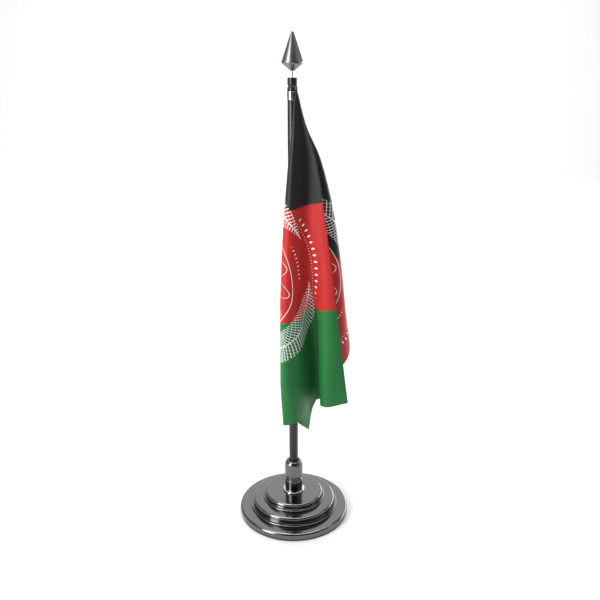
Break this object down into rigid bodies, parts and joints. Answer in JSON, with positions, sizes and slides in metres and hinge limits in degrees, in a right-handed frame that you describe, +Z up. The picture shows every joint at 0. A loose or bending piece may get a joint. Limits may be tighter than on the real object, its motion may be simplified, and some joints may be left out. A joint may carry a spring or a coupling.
{
  "type": "desk flag stand",
  "caption": "Stepped round base with a slim clamped pole, spear finial and a small striped flag hung in folds, to display a flag on a desk.",
  "frame": {"origin": "centre of the base pad's underside, on the pole's axis", "axes": "+Z up along the pole; -Y towards the viewer who sees the flag's face; +X to that viewer's right, where the flag's free edge hangs"},
  "size_m": [0.1, 0.1, 0.423],
  "materials": {
    "pad": "black felt-faced foam pad",
    "dark_nickel": "polished dark nickel plate",
    "bright_nickel": "bright nickel plate",
    "spear_nickel": "mirror-polished black nickel plate",
    "gunmetal": "satin gunmetal lacquer on steel tube",
    "zinc_steel": "zinc-plated steel",
    "nylon": "natural nylon",
    "black_rubber": "moulded black rubber",
    "thread": "twisted polyester thread",
    "flag_satin": "printed satin in three stripes, black, red and green, with a white line rosette"
  },
  "bodies": {
    "base": {"felt_pad": "pad", "base_disc_lower": "dark_nickel", "base_disc_middle": "dark_nickel", "base_disc_upper": "dark_nickel", "base_washer": "zinc_steel", "base_bolt": "zinc_steel", "socket_foot_ring": "bright_nickel", "socket_body": "dark_nickel"},
    "ring": {"thrust_ring": "nylon"},
    "nut": {"clamp_nut": "dark_nickel"},
    "collet": {"grip_collet": "nylon"},
    "pole": {"pole_foot_plug": "black_rubber", "pole_tube": "gunmetal", "pole_top_plug": "zinc_steel", "top_collar": "bright_nickel", "pole_cap": "gunmetal", "finial_stud": "bright_nickel", "finial": "spear_nickel"},
    "flag": {"top_loop": "thread", "corner_whipping": "thread", "flag_cloth": "flag_satin"}
  },
  "joints": [
    {"name": "nut_rise", "type": "slide", "parent": "base", "child": "ring", "axis": [0, 0, 1], "range_m": [0, 0.00101]},
    {"name": "nut_turn", "type": "hinge", "parent": "ring", "child": "nut", "pos_m": [0, 0, 0.044], "axis": [0, 0, 1], "range_deg": [0, 360]},
    {"name": "pole_turn", "type": "hinge", "parent": "base", "child": "collet", "pos_m": [0, 0, 0.046], "axis": [0, 0, 1], "continuous": true},
    {"name": "pole_lift", "type": "slide", "parent": "collet", "child": "pole", "axis": [0, 0, 1], "range_m": [0, 0.028]},
    {"name": "flag_swivel", "type": "hinge", "parent": "pole", "child": "flag", "pos_m": [0, 0, 0.384], "axis": [0, 0, 1], "continuous": true}
  ],
  "couplings": [
    {"joint": "nut_rise", "follows": "nut_turn", "m_per_rad": 0.00015915}
  ]
}
